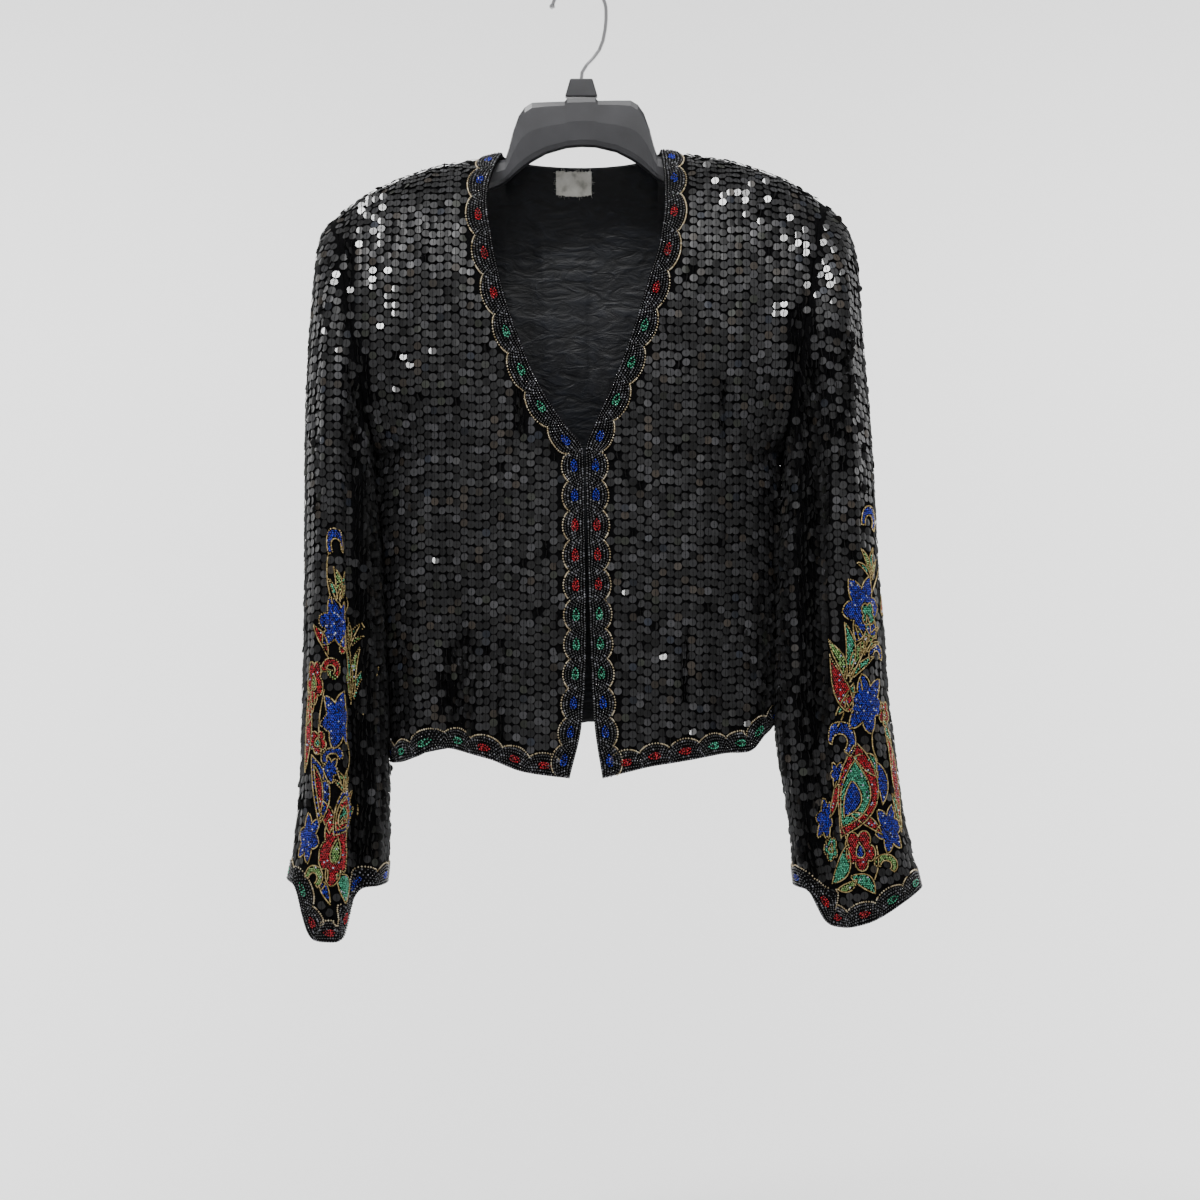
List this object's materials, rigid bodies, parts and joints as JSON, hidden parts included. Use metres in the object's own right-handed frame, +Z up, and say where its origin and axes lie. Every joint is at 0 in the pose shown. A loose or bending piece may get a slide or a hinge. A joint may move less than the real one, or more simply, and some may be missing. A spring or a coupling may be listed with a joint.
{
  "type": "sequined evening jacket on a hanger",
  "caption": "Cropped open-front evening jacket covered in sequins, with a scalloped beaded border and flared beaded sleeves, hanging on a black plastic hanger.",
  "frame": {"origin": "inner top of the hanger's hook, where it bears on a rod", "axes": "+Z up, -Y out of the front of the jacket, +X towards the wearer's left"},
  "size_m": [0.5336, 0.1266, 0.8062],
  "materials": {
    "sequined_cloth": "black georgette covered in satin black sequins",
    "lining_satin": "crinkled black satin",
    "bead_border": "rows of black glass seed beads",
    "label_tape": "white woven tape, bare",
    "hanger_plastic": "black moulded polystyrene with a soft sheen",
    "hook_chrome": "bright plated steel wire"
  },
  "bodies": {
    "root": {"front_left": "sequined_cloth", "front_right": "sequined_cloth", "back": "sequined_cloth", "sleeve_upper_left": "sequined_cloth", "sleeve_under_left": "sequined_cloth", "sleeve_upper_right": "sequined_cloth", "sleeve_under_right": "sequined_cloth", "back_lining": "lining_satin", "front_border_left": "bead_border", "front_border_right": "bead_border", "back_hem_border": "bead_border", "back_neck_border": "bead_border", "cuff_border_left": "bead_border", "cuff_border_right": "bead_border", "care_label": "label_tape", "hanger": "hanger_plastic", "size_tab": "hanger_plastic", "hook": "hook_chrome"}
  },
  "joints": []
}
